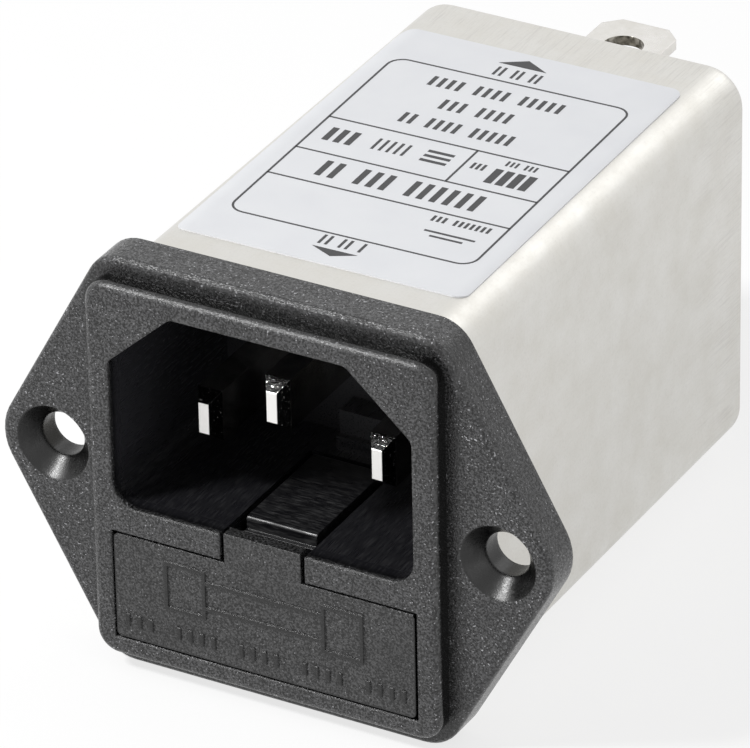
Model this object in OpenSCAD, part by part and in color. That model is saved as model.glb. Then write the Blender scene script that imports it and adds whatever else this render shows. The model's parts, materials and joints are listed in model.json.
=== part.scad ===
// Panel-mount mains inlet with a line filter and a fuse drawer, in millimetres.
// The origin lies midway between the two panel screw holes, in the plane where the
// flange's back face meets the panel. The front faces -Y, the can points along +Y.

/* [Panel flange] */
// Distance between the two panel screw holes
hole_pitch = 36; // [34.6:0.1:40]
// Diameter of a panel screw hole
screw_hole_d = 3.5; // [3:0.1:4.2]
// Diameter of a countersink at the flange's front face
countersink_d = 6; // [5:0.1:7]
// Depth of a countersink's cone
countersink_depth = 1.5; // [0.8:0.1:2.4]
// Thickness of the flange
flange_t = 3.2; // [2.8:0.02:4.4]
// Height of the flange
flange_h = 33.2; // [32.8:0.1:37]
// Width of the flange's straight top edge, between the centres of its corner arcs
flange_top_w = 23.7; // [21:0.1:25]
// Radius of the flange's four shoulder corners
flange_corner_r = 3; // [2:0.1:4]
// Radius of the ear round each screw hole
ear_r = 4.2; // [3.7:0.1:5]
// Rounding of the flange's front edge
flange_edge_r = 0.45; // [0.2:0.05:0.8]

/* [Front boss] */
// Width of the raised frame
boss_w = 28.1; // [27.6:0.1:28.6]
// Height of the raised frame
boss_h = 30.5; // [29.6:0.1:31.6]
// Height of the raised frame above the flange
boss_rise = 1.6; // [1:0.1:2.4]
// Radius of the raised frame's corners
boss_corner_r = 1.8; // [1:0.1:3]
// Rounding of the raised frame's front edge
boss_edge_r = 0.6; // [0.3:0.05:0.8]

/* [Inlet opening] */
// Width of the inlet opening
inlet_w = 24.4; // [23.6:0.1:24.8]
// Height of the inlet opening
inlet_h = 16.4; // [16:0.1:16.8]
// Level of the inlet's floor
inlet_floor_z = -2.7; // [-2.9:0.02:-2.6]
// Depth of the inlet behind the front face
inlet_depth = 16.6; // [16:0.1:19]
// Width of the slanted corners at the top
inlet_slant_w = 5.2; // [4:0.1:6]
// Height of the slanted corners at the top
inlet_slant_h = 4.7; // [4:0.1:6]
// Radius where the inlet's sides meet its floor
inlet_floor_r = 2; // [1:0.1:2.6]
// Radius of the inlet's four blunt upper corners
inlet_top_r = 0.8; // [0.4:0.1:1.2]
// Thickness of the wall behind the inlet
back_wall_t = 2.5; // [2:0.1:3.5]

/* [Inlet pins] */
// Thickness of a pin
pin_t = 2; // [1.8:0.1:2.2]
// Height of a pin
pin_h = 4; // [3.6:0.1:4.4]
// Distance between the line pin and the neutral pin
pin_pitch = 14; // [13.4:0.1:14.6]
// Level of the line and neutral pins
live_pin_z = 3.55; // [3:0.05:3.8]
// Level of the earth pin
earth_pin_z = 7.55; // [7.2:0.05:8.4]
// Distance of the line and neutral pins' tips behind the front face
pin_set_back = 4.29; // [3:0.01:5]
// How far the earth pin's tip stands in front of the other two
earth_lead_in = 2.39; // [1:0.01:2.8]
// Length of the tapered tip
pin_tip_l = 1; // [0.6:0.1:1.6]
// Thickness of the tip's flat end
pin_tip_t = 0.8; // [0.5:0.1:1.2]
// Height of the tip's flat end
pin_tip_h = 2.4; // [1.6:0.1:3]
// Length of the solder tail behind the inlet
pin_tail_l = 3; // [2:0.1:3.2]
// Thickness of the solder tail
pin_tail_t = 0.8; // [0.5:0.1:1.2]
// Height of the solder tail
pin_tail_h = 2.4; // [1.6:0.1:3]

/* [Fuse drawer] */
// Width of the drawer's front plate
plate_w = 24.4; // [24:0.1:25.4]
// Level of the front plate's top edge
plate_top_z = -4.96; // [-5.4:0.02:-4.9]
// Level of the front plate's bottom edge
plate_bottom_z = -13.5; // [-14:0.01:-13.4]
// Thickness of the front plate
plate_t = 1.6; // [1.2:0.1:2]
// Radius of the front plate's corners
plate_corner_r = 0.4; // [0.2:0.1:0.8]
// Width of the seam round the front plate
seam = 0.2; // [0.1:0.02:0.28]
// Width of the tongue that reaches up into the inlet
tongue_w = 6.2; // [5.6:0.1:6.6]
// Level of the tongue's top edge
tongue_top_z = -2.55; // [-2.7:0.02:-2.4]
// Thickness of the tongue
tongue_t = 1; // [0.8:0.1:1.4]
// Gap on each side of the tongue
tongue_gap = 0.35; // [0.2:0.05:0.5]
// Width of the latch block behind the tongue
latch_w = 5.7; // [5:0.1:6]
// Distance of the latch block's front edge behind the front face
latch_set_back = 2.84; // [2.4:0.02:3.4]
// Distance between the latch block's back end and the inlet's back wall
latch_end_gap = 4; // [3:0.1:5]
// Depth of the latch block's upper step
latch_step_h = 1; // [0.7:0.1:1.3]
// How far the latch block's lower step stands in front of the upper one
latch_step_l = 0.4; // [0.2:0.05:0.8]
// Rounding of the latch block's front edge
latch_edge_r = 0.25; // [0.1:0.05:0.4]
// Clearance between the fuse tray and its compartment
tray_gap = 0.2; // [0.1:0.02:0.25]
// Width of the fuse compartment
compartment_w = 23.2; // [22.6:0.1:24]
// Level of the fuse compartment's floor
compartment_floor_z = -13.2; // [-13.3:0.02:-13]
// Distance between the front plate's top edge and the compartment's ceiling
compartment_drop = 0.12; // [0.05:0.01:0.3]
// Thickness of the tray's end walls
tray_wall_t = 1; // [0.8:0.1:1.2]
// Height of the tray's end walls above the fuse's axis
tray_wall_h = 1.9; // [1:0.1:2.6]
// Thickness of the slab under the latch block
latch_slab_t = 1; // [0.7:0.1:1.05]
// Height of the raised lines of the fuse symbol
symbol_rise = 0.12; // [0.05:0.01:0.3]
// Width of the raised lines of the fuse symbol
symbol_line = 0.3; // [0.15:0.05:0.5]
// Length of the fuse symbol
symbol_l = 16.2; // [12:0.1:20]
// Length of each end of the fuse symbol
symbol_end_l = 3.4; // [2:0.1:5]
// Height of the ends of the fuse symbol
symbol_end_h = 4; // [3:0.1:4.5]
// Height of the fuse symbol's middle
symbol_mid_h = 2.4; // [1.6:0.1:2.8]
// Level of the fuse symbol
symbol_z = -8.15; // [-8.6:0.05:-8]

/* [Fuse] */
// Length of the fuse
fuse_l = 20; // [19:0.1:20.2]
// Diameter of the fuse's end caps
fuse_cap_d = 5.2; // [4.8:0.1:5.3]
// Length of an end cap
fuse_cap_l = 5; // [4:0.1:6]
// Diameter of the glass tube
fuse_glass_d = 4.6; // [4:0.1:4.7]
// Wall of the glass tube
fuse_glass_t = 0.6; // [0.4:0.1:0.9]
// Thickness of an end cap's metal
fuse_cap_t = 0.25; // [0.15:0.05:0.28]
// Diameter of the fuse wire
fuse_wire_d = 0.3; // [0.2:0.05:0.5]
// Play of the fuse in its cradle
fuse_play = 0.1; // [0.05:0.01:0.15]
// Level of the fuse's axis
fuse_z = -9.5; // [-9.6:0.05:-9.4]

/* [Fuse contacts] */
// Width of a fuse contact
contact_w = 3; // [2:0.1:3.4]
// Thickness of a fuse contact
contact_t = 0.4; // [0.3:0.05:0.5]
// Outer radius of the contact's bow
contact_bow_r = 1.7; // [1.4:0.1:2]
// Distance between the two fuse contacts
contact_pitch = 15.6; // [14.6:0.1:16.2]
// Gap between a contact's bow and the fuse
contact_gap = 0.05; // [0.02:0.01:0.1]
// Room on each side of a contact in the tray
contact_room = 0.4; // [0.2:0.1:0.6]

/* [Metal case] */
// Width of the case
case_w = 27.2; // [27:0.05:27.6]
// Height of the case
case_h = 31.2; // [31:0.05:31.6]
// Level of the case's centre line
case_z = 0; // [-0.3:0.05:0.2]
// Length of the case behind the panel
case_l = 43.9; // [43:0.1:60]
// Sheet thickness of the case
case_t = 0.55; // [0.4:0.05:0.65]
// Radius of the case's long edges
case_corner_r = 3; // [2.2:0.1:3.4]
// Rounding of the case's back edge
case_back_r = 0.9; // [0.8:0.1:1.4]
// Clearance of what slides into the case
case_gap = 0.1; // [0.05:0.01:0.15]
// Depth of the groove in the flange's back that takes the case's front edge
case_seat = 0.6; // [0.3:0.1:1]

/* [Label] */
// Width of the label
label_w = 23.2; // [18:0.1:23.6]
// Length of the label
label_l = 34.5; // [26:0.1:36]
// Distance of the label's centre behind the panel
label_y = 21.35; // [20.8:0.01:23]
// Sideways offset of the label's centre
label_x = -0.3; // [-0.6:0.005:0.6]
// Angle at which the label is stuck on
label_turn = 0.6; // [-1.2:0.02:1.2]
// Radius of the label's corners
label_corner_r = 1; // [0.5:0.1:2]
// Thickness of the label
label_t = 0.1; // [0.05:0.01:0.2]

/* [Terminals] */
// Width of a terminal tab
tab_w = 6.3; // [4.8:0.1:6.5]
// Thickness of a terminal tab
tab_t = 0.8; // [0.6:0.1:1]
// How far a tab stands out behind the case
tab_l = 10.35; // [9:0.05:12]
// Diameter of the hole in a tab
tab_hole_d = 3.1; // [1.6:0.1:3.4]
// Distance of the hole from the tab's end
tab_hole_set_in = 3.8; // [3:0.1:5]
// Size of the slanted corners at a tab's end
tab_corner = 1.2; // [0.5:0.05:1.4]
// Level of the earth tab
earth_tab_z = 11; // [10.8:0.1:11.6]
// Inner radius of the earth tab's bend
earth_bend_r = 0.4; // [0.3:0.1:0.8]
// Length of the earth tab's foot below the tab
earth_foot_h = 7; // [6.5:0.1:7.3]
// Distance of the rivet below the earth tab
rivet_drop = 4.4; // [4.2:0.1:4.6]
// Diameter of the rivet's shank
rivet_d = 3; // [2.4:0.1:3.2]
// Diameter of the rivet's heads
rivet_head_d = 4.8; // [4.2:0.1:5]
// Thickness of the rivet's heads
rivet_head_t = 0.9; // [0.6:0.1:1.2]
// Distance between the line and neutral tabs
load_tab_pitch = 13; // [12.6:0.1:14]
// Level of the middle of the line and neutral tabs, which stand upright
load_tab_z = -1.2; // [-1.3:0.1:-1]
// Length of the line and neutral tabs inside the terminal plate
tab_inner_l = 1.6; // [1:0.1:2]
// Thickness of the insulating terminal plate
terminal_plate_t = 3; // [2.5:0.1:4]
// Height of the terminal plate above the middle of the line and neutral tabs
terminal_plate_rise = 4.4; // [4.2:0.1:4.6]
// Width of the plate's nose, which fills the window in the case
nose_w = 18; // [17:0.1:19]
// Height of the plate's nose
nose_h = 8; // [7.4:0.1:8.2]
// How far the nose stands out behind the case
nose_rise = 0.8; // [0.3:0.1:1.5]
// Radius of the nose's corners
nose_corner_r = 1; // [0.5:0.1:1.8]

/* [Filter parts] */
// Thickness of the circuit board
board_t = 1.6; // [1:0.1:1.8]
// Width of the circuit board
board_w = 23.6; // [22:0.1:24]
// Level of the circuit board's upper face
board_z = -11; // [-11.4:0.1:-10.8]
// How deep the board sits in the terminal plate's groove
board_groove = 1; // [0.6:0.1:1.5]
// Outer diameter of the choke's ring core
core_d = 22; // [21:0.1:22.2]
// Inner diameter of the choke's ring core
core_hole_d = 12; // [11:0.1:12.6]
// Rounding of the ring core's edges
core_edge_r = 1; // [0.8:0.1:1.4]
// Diameter of the winding wire
winding_wire_d = 1; // [0.7:0.05:1.1]
// Turns of each winding
winding_turns = 9; // [5:1:9]
// Arc of the ring that each winding covers, in degrees
winding_arc = 140; // [120:1:144]
// Gap between the X capacitor and the choke
choke_front_gap = 0.8; // [0.4:0.1:1.2]
// Gap between the choke and the Y capacitors, where the windings' ends run
choke_back_gap = 2.5; // [2.2:0.1:3]
// Thickness of the divider between the two windings
divider_t = 1.2; // [0.8:0.1:1.6]
// Width of the X capacitor
x_cap_w = 18; // [14:0.1:20]
// Height of the X capacitor
x_cap_h = 11; // [9:0.1:12]
// Thickness of the X capacitor
x_cap_t = 5; // [4:0.1:5.4]
// Rounding of the X capacitor's upright edges
x_cap_edge_r = 0.5; // [0.2:0.1:1]
// Distance of the X capacitor behind the inlet's back wall
x_cap_set_back = 3.6; // [3.4:0.1:3.8]
// Diameter of a Y capacitor
y_cap_d = 6.6; // [5:0.1:7.6]
// Thickness of a Y capacitor
y_cap_t = 2.6; // [2:0.1:2.8]
// Distance of the Y capacitors in front of the terminal plate
y_cap_gap = 0.3; // [0.2:0.1:0.5]
// Diameter of the bleed resistor
resistor_d = 2.3; // [1.8:0.1:2.6]
// Length of the bleed resistor
resistor_l = 6.5; // [5:0.1:8]
// Diameter of the bleed resistor's leads
resistor_lead_d = 0.6; // [0.4:0.1:0.8]
// Diameter of an insulated lead
lead_d = 1.3; // [1:0.05:1.5]
// Gap between a lead and what it runs along
lead_gap = 0.3; // [0.1:0.05:0.5]

/* [Hidden] */
$fn = 64;
eps = 0.01;

black_plastic = [0.12, 0.12, 0.13];
tinned_steel = [0.78, 0.77, 0.74];
bright_metal = [0.86, 0.86, 0.86];
copper = [0.72, 0.38, 0.18];

front_y = -(flange_t + boss_rise);
inlet_back_y = front_y + inlet_depth;
plug_back_y = inlet_back_y + back_wall_t;
inlet_top_z = inlet_floor_z + inlet_h;
plug_w = case_w - 2*case_t - 2*case_gap;
plug_h = case_h - 2*case_t - 2*case_gap;
inner_corner_r = case_corner_r - case_t - case_gap;

plate_back_y = front_y + plate_t;
compartment_top_z = plate_top_z - compartment_drop;
tray_w = compartment_w - 2*tray_gap;
tray_floor_z = compartment_floor_z + tray_gap;
slab_top_z = compartment_top_z - tray_gap;
latch_front_y = front_y + latch_set_back;
latch_back_y = inlet_back_y - latch_end_gap;
slot_w = tongue_w + 2*tongue_gap;
slot_back_y = latch_back_y + 2*tongue_gap;
stop_w = 3.6;
stop_l = 2.1;
stop_top_z = 0.42;
stop_step_z = -1.5;
stop_step_l = 0.5;

bow_y = inlet_back_y;
fuse_y = bow_y - contact_bow_r - contact_gap - fuse_cap_d/2;
cradle_r = fuse_cap_d/2 + fuse_play;
cradle_l = fuse_l + 2*fuse_play;
tray_back_y = fuse_y + cradle_r + tray_gap;
spare_y = plate_back_y + cradle_r + tray_wall_t/2;
contact_leg_z = fuse_z + contact_bow_r - contact_t/2;

case_back_y = case_l;
case_inner_back_y = case_l - case_t;
terminal_plate_y = case_inner_back_y - terminal_plate_t;
tab_end_y = case_back_y + tab_l;
rivet_z = earth_tab_z - rivet_drop;

core_mid_r = (core_d + core_hole_d)/4;
wire_r = winding_wire_d/2;
winding_clearance = 0.12;
winding_a = (core_d - core_hole_d)/4 + wire_r + winding_clearance;
choke_z = board_z + (core_mid_r + winding_a + wire_r)*sin(winding_arc/2) + winding_clearance;
y_cap_y = terminal_plate_y - y_cap_gap - y_cap_t/2;
x_cap_y = plug_back_y + x_cap_set_back;
choke_front_y = x_cap_y + x_cap_t + choke_front_gap;
choke_back_y = y_cap_y - y_cap_t/2 - choke_back_gap;
choke_y = (choke_front_y + choke_back_y)/2;
core_w = choke_back_y - choke_front_y - 2*winding_wire_d - 2*winding_clearance;
winding_b = core_w/2 + wire_r + winding_clearance;

// ---------- outlines and plates ----------

// Unit vector at an angle
function heading(angle) = [cos(angle), sin(angle)];

// Where a belt round the circles [x, y, r], listed anticlockwise, leaves and meets them
function belt_points(circles) = [
  for (i = [0 : len(circles) - 1])
    let (
      from = circles[i],
      to = circles[(i + 1) % len(circles)],
      run = [to[0] - from[0], to[1] - from[1]],
      side = heading(atan2(run[1], run[0]) - acos((from[2] - to[2])/norm(run)))
    )
    each [
      [from[0], from[1]] + from[2]*side,
      [to[0], to[1]] + to[2]*side
    ]
];

// Circles that round the corners of a convex polygon, listed anticlockwise
function corner_circles(points, radii) = [
  for (i = [0 : len(points) - 1])
    let (
      p = points[i],
      before = points[(i + len(points) - 1) % len(points)] - p,
      after = points[(i + 1) % len(points)] - p,
      bisector = before/norm(before) + after/norm(after),
      half = acos((before*after)/(norm(before)*norm(after)))/2,
      centre = p + bisector/norm(bisector)*radii[i]/sin(half)
    )
    [centre[0], centre[1], radii[i]]
];

function rounded_rectangle(w, h, r) = [
  [w/2 - r, h/2 - r, r],
  [r - w/2, h/2 - r, r],
  [r - w/2, r - h/2, r],
  [w/2 - r, r - h/2, r]
];

function shrunk(circles, by) = [for (c = circles) [c[0], c[1], c[2] - by]];

module outline(circles) {
  polygon(belt_points(circles));
  for (c = circles) translate([c[0], c[1]]) circle(c[2]);
}

// A plate of the circles' outline, with its far edge rounded by edge_r
module soft_plate(circles, t, edge_r) {
  core = shrunk(circles, edge_r);
  belt = belt_points(core);
  linear_extrude(t) outline(core);
  linear_extrude(t - edge_r) outline(circles);
  for (c = core) translate([c[0], c[1], t - edge_r]) rotate_extrude() edge_section(c[2], edge_r);
  for (i = [0 : 2 : len(belt) - 1])
    translate([belt[i][0], belt[i][1], t - edge_r])
      rotate([0, 0, atan2(belt[i + 1][1] - belt[i][1], belt[i + 1][0] - belt[i][0])])
        rotate([0, 90, 0])
          cylinder(h = norm(belt[i + 1] - belt[i]), r = edge_r);
}

// The same for an outline with slanted sides: a hull whose edge steps round in a few facets
module soft_hull(circles, t, edge_r, step = 22.5) {
  hull()
    for (angle = [0 : step : 90])
      linear_extrude(t - edge_r + edge_r*sin(angle))
        outline(shrunk(circles, edge_r*(1 - cos(angle))), $fn = 40);
}

// The half of a rounded edge's section that lies outside the axis
module edge_section(ring_r, edge_r) {
  intersection() {
    translate([ring_r, 0]) circle(edge_r);
    translate([0, -edge_r]) square([ring_r + edge_r, 2*edge_r]);
  }
}

// Stands a flat shape up in the XZ plane at y, growing towards the front
module toward_front(y) {
  translate([0, y, 0]) rotate([90, 0, 0]) children();
}

// The same, growing towards the back
module toward_back(y) {
  translate([0, y, 0]) mirror([0, 1, 0]) rotate([90, 0, 0]) children();
}

// A box given by its lowest and highest corners
module block(low, high) {
  translate(low) cube(high - low);
}

// A box that is symmetric about the YZ plane
module centred_block(w, y0, y1, z0, z1) {
  block([-w/2, y0, z0], [w/2, y1, z1]);
}

module rod_x(x0, x1, y, z, d) {
  translate([x0, y, z]) rotate([0, 90, 0]) cylinder(h = x1 - x0, d = d);
}

module mirrored_pair() {
  children();
  mirror([1, 0, 0]) children();
}

// ---------- wires ----------

// Unit vectors along a path, from each point's neighbours
function path_headings(path) = [
  for (i = [0 : len(path) - 1])
    let (run = path[min(i + 1, len(path) - 1)] - path[max(i - 1, 0)])
    run/norm(run)
];

function square_to(v, along) = let (s = v - (v*along)*along) s/norm(s);

// A normal for each point that turns as little as it can from the one before
function path_normals(along) = [
  for (i = 0, n = square_to([0.31, 0.57, 0.76], along[0]);
    i < len(along);
    i = i + 1, n = square_to(n, along[min(i, len(along) - 1)])) n
];

// A round wire of the given radius that follows a path
module wire(path, r, sides = 8) {
  along = path_headings(path);
  normals = path_normals(along);
  last = len(path) - 1;
  points = [
    for (i = [0 : last], k = [0 : sides - 1])
      let (n = normals[i], b = cross(along[i], n), angle = 360*k/sides)
      path[i] + r*(cos(angle)*n + sin(angle)*b)
  ];
  skin = [
    for (i = [0 : last - 1], k = [0 : sides - 1])
      let (a = i*sides + k, b = i*sides + (k + 1) % sides)
      each [[a, a + sides, b], [b, a + sides, b + sides]]
  ];
  start_cap = [for (k = [0 : sides - 1]) k];
  end_cap = [for (k = [sides - 1 : -1 : 0]) last*sides + k];
  polyhedron(points, concat([start_cap], skin, [end_cap]));
}

// A path through the points with each inner corner rounded by an arc-like bend
function bent_path(points, r, steps = 4) = [
  points[0],
  for (i = [1 : len(points) - 2])
    let (
      p = points[i],
      a = p + r*(points[i - 1] - p)/norm(points[i - 1] - p),
      b = p + r*(points[i + 1] - p)/norm(points[i + 1] - p)
    )
    each [for (s = [0 : steps]) let (t = s/steps) (1 - t)*(1 - t)*a + 2*t*(1 - t)*p + t*t*b],
  points[len(points) - 1]
];

// ---------- inlet ----------

flange_circles = [
  [hole_pitch/2, 0, ear_r],
  [flange_top_w/2, flange_h/2 - flange_corner_r, flange_corner_r],
  [-flange_top_w/2, flange_h/2 - flange_corner_r, flange_corner_r],
  [-hole_pitch/2, 0, ear_r],
  [-flange_top_w/2, flange_corner_r - flange_h/2, flange_corner_r],
  [flange_top_w/2, flange_corner_r - flange_h/2, flange_corner_r]
];

inlet_circles = corner_circles(
  [
    [inlet_w/2, inlet_floor_z],
    [inlet_w/2, inlet_top_z - inlet_slant_h],
    [inlet_w/2 - inlet_slant_w, inlet_top_z],
    [inlet_slant_w - inlet_w/2, inlet_top_z],
    [-inlet_w/2, inlet_top_z - inlet_slant_h],
    [-inlet_w/2, inlet_floor_z]
  ],
  [inlet_floor_r, inlet_top_r, inlet_top_r, inlet_top_r, inlet_top_r, inlet_floor_r]
);

module screw_hole() {
  toward_front(eps) cylinder(h = flange_t + 2*eps, d = screw_hole_d);
  toward_front(countersink_depth - flange_t)
    cylinder(h = countersink_depth + eps, d1 = screw_hole_d, d2 = countersink_d);
}

module plug() {
  translate([0, 0, case_z])
    toward_back(-eps)
      linear_extrude(plug_back_y + eps)
        outline(rounded_rectangle(plug_w, plug_h, inner_corner_r));
}

// The groove in the flange's back for the case's front edge
module case_groove() {
  translate([0, 0, case_z])
    toward_back(-case_seat)
      linear_extrude(case_seat + eps)
        difference() {
          outline(
            rounded_rectangle(case_w + 2*case_gap, case_h + 2*case_gap, case_corner_r + case_gap)
          );
          outline(rounded_rectangle(plug_w, plug_h, inner_corner_r));
        }
}

// The room for the drawer: the front plate's recess, the compartment and the latch slot
module drawer_room() {
  centred_block(
    plate_w + 2*seam, front_y - 1, plate_back_y + seam,
    plate_bottom_z - seam, plate_top_z + seam
  );
  centred_block(compartment_w, front_y, inlet_back_y, compartment_floor_z, compartment_top_z);
  centred_block(slot_w, front_y - 1, slot_back_y, compartment_top_z - eps, inlet_floor_z + eps);
}

// The stepped stop at the back of the inlet's floor
module floor_stop() {
  centred_block(
    stop_w, inlet_back_y - stop_l, inlet_back_y + eps, inlet_floor_z - eps, stop_top_z
  );
  centred_block(
    stop_w, inlet_back_y - stop_l - stop_step_l, inlet_back_y + eps,
    inlet_floor_z - eps, stop_step_z
  );
}

module pin_slot(x, z) {
  block(
    [x - pin_t/2, inlet_back_y - eps, z - pin_h/2],
    [x + pin_t/2, plug_back_y + eps, z + pin_h/2]
  );
}

module inlet_housing() {
  color(black_plastic) {
    difference() {
      union() {
        toward_front(0) soft_hull(flange_circles, flange_t, flange_edge_r);
        toward_front(0)
          soft_plate(
            rounded_rectangle(boss_w, boss_h, boss_corner_r), flange_t + boss_rise, boss_edge_r
          );
        plug();
      }
      mirrored_pair() translate([hole_pitch/2, 0, 0]) screw_hole();
      case_groove();
      toward_back(front_y - 1) linear_extrude(inlet_depth + 1) outline(inlet_circles);
      drawer_room();
      pin_slot(-pin_pitch/2, live_pin_z);
      pin_slot(pin_pitch/2, live_pin_z);
      pin_slot(0, earth_pin_z);
      mirrored_pair() contact_leg(inlet_back_y - eps, plug_back_y + eps);
    }
    floor_stop();
  }
}

// A flat blade along Y with a tapered tip and a thinner solder tail
module pin(x, z, tip_y) {
  shoulder_y = tip_y + pin_tip_l;
  color(bright_metal) {
    intersection() {
      translate([0, 0, z - pin_h])
        linear_extrude(2*pin_h)
          polygon([
            [x - pin_tip_t/2, tip_y], [x + pin_tip_t/2, tip_y],
            [x + pin_t/2, shoulder_y], [x + pin_t/2, plug_back_y],
            [x - pin_t/2, plug_back_y], [x - pin_t/2, shoulder_y]
          ]);
      translate([x - pin_t, 0, 0])
        rotate([90, 0, 90])
          linear_extrude(2*pin_t)
            polygon([
              [tip_y, z - pin_tip_h/2], [shoulder_y, z - pin_h/2],
              [plug_back_y, z - pin_h/2], [plug_back_y, z + pin_h/2],
              [shoulder_y, z + pin_h/2], [tip_y, z + pin_tip_h/2]
            ]);
    }
    block(
      [x - pin_tail_t/2, plug_back_y - eps, z - pin_tail_h/2],
      [x + pin_tail_t/2, plug_back_y + pin_tail_l, z + pin_tail_h/2]
    );
  }
}

module line_pin() pin(-pin_pitch/2, live_pin_z, front_y + pin_set_back);

module neutral_pin() pin(pin_pitch/2, live_pin_z, front_y + pin_set_back);

module earth_pin() pin(0, earth_pin_z, front_y + pin_set_back - earth_lead_in);

// ---------- fuse contacts ----------

module contact_leg(y0, y1) {
  block(
    [contact_pitch/2 - contact_w/2, y0, contact_leg_z - contact_t/2],
    [contact_pitch/2 + contact_w/2, y1, contact_leg_z + contact_t/2]
  );
}

// A strip that bows forward against the fuse's cap and runs back through the wall
module fuse_contact() {
  color(copper) {
    translate([contact_pitch/2 - contact_w/2, bow_y, fuse_z])
      rotate([0, 90, 0])
        intersection() {
          difference() {
            cylinder(h = contact_w, r = contact_bow_r);
            translate([0, 0, -eps]) cylinder(h = contact_w + 2*eps, r = contact_bow_r - contact_t);
          }
          translate([-contact_bow_r, -contact_bow_r, 0])
            cube([2*contact_bow_r, contact_bow_r, contact_w]);
        }
    contact_leg(bow_y - eps, plug_back_y + pin_tail_l);
  }
}

module line_fuse_contact() mirror([1, 0, 0]) fuse_contact();

module load_fuse_contact() fuse_contact();

// ---------- fuse drawer ----------

module cradle(y) {
  rod_x(-cradle_l/2, cradle_l/2, y, fuse_z, 2*cradle_r);
  centred_block(cradle_l, y - cradle_r, y + cradle_r, fuse_z, fuse_z + cradle_r);
}

module fuse_tray() {
  difference() {
    union() {
      centred_block(tray_w, plate_back_y - eps, tray_back_y, tray_floor_z, fuse_z);
      mirrored_pair()
        block(
          [tray_w/2 - tray_wall_t, plate_back_y - eps, tray_floor_z],
          [tray_w/2, tray_back_y, fuse_z + tray_wall_h]
        );
    }
    cradle(fuse_y);
    cradle(spare_y);
    mirrored_pair()
      block(
        [contact_pitch/2 - contact_w/2 - contact_room, fuse_y, fuse_z - contact_bow_r - contact_room],
        [contact_pitch/2 + contact_w/2 + contact_room, tray_back_y + 1, fuse_z + cradle_r]
      );
  }
}

module latch_block() {
  step_z = tongue_top_z - latch_step_h;
  difference() {
    centred_block(latch_w, latch_front_y, latch_back_y, step_z - eps, tongue_top_z);
    translate([-latch_w, latch_front_y, tongue_top_z])
      rotate([0, 90, 0])
        linear_extrude(2*latch_w)
          difference() {
            square(2*latch_edge_r, center = true);
            translate([latch_edge_r, latch_edge_r]) circle(latch_edge_r);
          }
  }
  centred_block(latch_w, latch_front_y - latch_step_l, latch_back_y, slab_top_z - eps, step_z);
  centred_block(
    latch_w, plate_back_y - eps, latch_back_y, slab_top_z - latch_slab_t, slab_top_z
  );
  centred_block(
    latch_w, spare_y + cradle_r + fuse_play, fuse_y - cradle_r - fuse_play,
    tray_floor_z, slab_top_z
  );
}

// A flat ring with square corners, raised on the front plate
module raised_frame(x, w, h) {
  toward_front(front_y + eps)
    translate([x, symbol_z])
      linear_extrude(symbol_rise + eps)
        difference() {
          square([w, h], center = true);
          square([w - 2*symbol_line, h - 2*symbol_line], center = true);
        }
}

module fuse_symbol() {
  end_x = symbol_l/2 - symbol_end_l/2;
  raised_frame(-end_x, symbol_end_l, symbol_end_h);
  raised_frame(end_x, symbol_end_l, symbol_end_h);
  raised_frame(0, symbol_l - 2*symbol_end_l + 2*symbol_line, symbol_mid_h);
}

module fuse_drawer() {
  color(black_plastic) {
    translate([0, 0, (plate_top_z + plate_bottom_z)/2])
      toward_back(front_y)
        linear_extrude(plate_t)
          outline(rounded_rectangle(plate_w, plate_top_z - plate_bottom_z, plate_corner_r));
    centred_block(tongue_w, front_y, front_y + tongue_t, plate_top_z - plate_t, tongue_top_z);
    fuse_tray();
    latch_block();
    fuse_symbol();
  }
}

module fuse_tube() {
  color([0.8, 0.9, 0.9, 0.5])
    difference() {
      rod_x(fuse_cap_t - fuse_l/2, fuse_l/2 - fuse_cap_t, fuse_y, fuse_z, fuse_glass_d);
      rod_x(-fuse_l, fuse_l, fuse_y, fuse_z, fuse_glass_d - 2*fuse_glass_t);
    }
}

module fuse_cap() {
  color(bright_metal)
    difference() {
      rod_x(fuse_l/2 - fuse_cap_l, fuse_l/2, fuse_y, fuse_z, fuse_cap_d);
      rod_x(
        fuse_l/2 - fuse_cap_l - 1, fuse_l/2 - fuse_cap_t, fuse_y, fuse_z, fuse_glass_d
      );
    }
}

module fuse_cap_left() mirror([1, 0, 0]) fuse_cap();

module fuse_cap_right() fuse_cap();

module fuse_wire() {
  color(bright_metal)
    rod_x(fuse_cap_t - fuse_l/2, fuse_l/2 - fuse_cap_t, fuse_y, fuse_z, fuse_wire_d);
}

// ---------- case and terminals ----------

module case_shell() {
  difference() {
    translate([0, 0, case_z])
      toward_back(-case_seat)
        soft_plate(
          rounded_rectangle(case_w, case_h, case_corner_r), case_seat + case_l, case_back_r
        );
    translate([0, 0, case_z])
      toward_back(-case_seat - 1)
        soft_plate(
          rounded_rectangle(case_w - 2*case_t, case_h - 2*case_t, case_corner_r - case_t),
          case_seat + 1 + case_inner_back_y, case_back_r - case_t
        );
  }
}

module case() {
  color(tinned_steel)
    difference() {
      case_shell();
      translate([0, 0, load_tab_z])
        toward_back(terminal_plate_y)
          linear_extrude(2*terminal_plate_t)
            outline(
              rounded_rectangle(
                nose_w + 2*case_gap, nose_h + 2*case_gap, nose_corner_r + case_gap
              )
            );
      translate([0, 0, rivet_z])
        toward_back(terminal_plate_y) cylinder(h = 2*terminal_plate_t, d = rivet_d);
    }
}

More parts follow.
